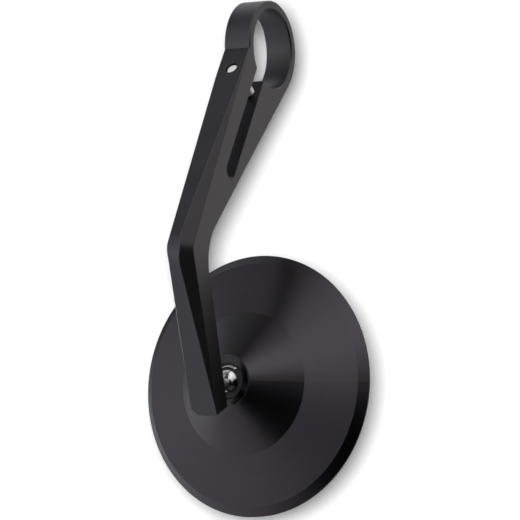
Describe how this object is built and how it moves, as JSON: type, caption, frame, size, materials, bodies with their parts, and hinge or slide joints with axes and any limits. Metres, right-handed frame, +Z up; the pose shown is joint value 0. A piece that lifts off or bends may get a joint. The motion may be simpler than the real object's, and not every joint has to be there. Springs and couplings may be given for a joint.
{
  "type": "motorcycle bar end mirror",
  "caption": "Round rear-view mirror with a coned metal back, on a ball joint at the end of a bent flat arm whose split ring clamps round the end of a handlebar.",
  "frame": {"origin": "centre of the clamp bore, in the middle of the arm's width", "axes": "+X along the handlebar, +Z up, the back of the mirror faces -Y and its glass +Y"},
  "size_m": [0.0979, 0.0844, 0.1949],
  "materials": {
    "black_arm": "satin black anodised",
    "black_housing": "satin black anodised, turned",
    "black_collar": "satin black anodised, turned",
    "steel_screw": "bright zinc",
    "polished_steel": "polished ball, plain neck",
    "liner_plastic": "low friction plastic",
    "seat_plastic": "moulded",
    "spring_steel": "spring steel",
    "plain_aluminium": "machined",
    "foam_tape": "foam tape",
    "mirror": "silvered domed glass"
  },
  "bodies": {
    "arm": {"clamp_arm": "black_arm", "pinch_screw": "steel_screw", "ball_stud": "polished_steel"},
    "liner": {"ball_liner": "liner_plastic"},
    "collar": {"ball_collar": "black_collar"},
    "head": {"mirror_housing": "black_housing", "mirror_glass": "mirror", "pressure_seat": "seat_plastic", "disc_spring_front": "spring_steel", "disc_spring_rear": "spring_steel", "retainer_nut": "plain_aluminium", "adhesive_ring": "foam_tape"}
  },
  "joints": [
    {"name": "mirror_tilt", "type": "hinge", "parent": "arm", "child": "liner", "pos_m": [0, -0.0237, -0.12685], "axis": [1, 0, 0], "range_deg": [-20, 20]},
    {"name": "mirror_pan", "type": "hinge", "parent": "liner", "child": "collar", "pos_m": [0, -0.0237, -0.12685], "axis": [0, 0, 1], "range_deg": [-20, 20]},
    {"name": "mirror_spin", "type": "hinge", "parent": "collar", "child": "head", "pos_m": [0, -0.0237, -0.12685], "axis": [0.0714, 0.9965, -0.0436], "continuous": true}
  ]
}
